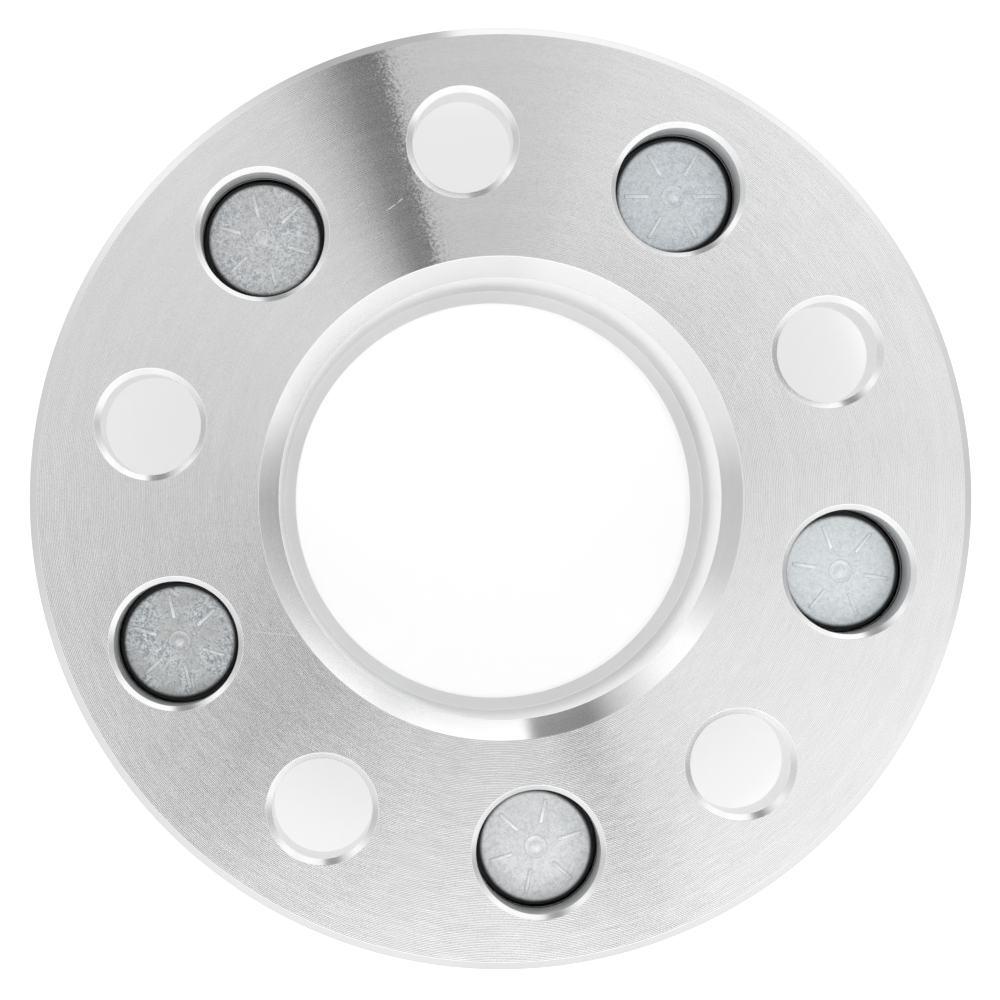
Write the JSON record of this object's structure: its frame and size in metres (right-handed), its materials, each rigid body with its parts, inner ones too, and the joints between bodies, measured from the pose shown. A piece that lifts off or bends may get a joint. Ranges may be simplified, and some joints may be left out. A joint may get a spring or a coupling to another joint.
{
  "type": "wheel spacer",
  "caption": "Thick round plate that bolts to a car's hub through clear holes and carries the wheel on press-in studs, with a chamfered hub bore and a centring lip.",
  "frame": {"origin": "on the plate's axis, in the plane of the face that the wheel seats on", "axes": "+Z along the bore's axis towards the hub face, +Y through the middle of a clear hole; the studs point down -Z"},
  "size_m": [0.1516, 0.1516, 0.062],
  "materials": {
    "machined_aluminium": "bright, turned, with fine concentric lathe marks",
    "zinc_plated_steel": "pale zinc plating over a forged surface, satin"
  },
  "bodies": {
    "root": {"spacer_plate": "machined_aluminium", "wheel_stud_1": "zinc_plated_steel", "wheel_stud_2": "zinc_plated_steel", "wheel_stud_3": "zinc_plated_steel", "wheel_stud_4": "zinc_plated_steel", "wheel_stud_5": "zinc_plated_steel"}
  },
  "joints": []
}
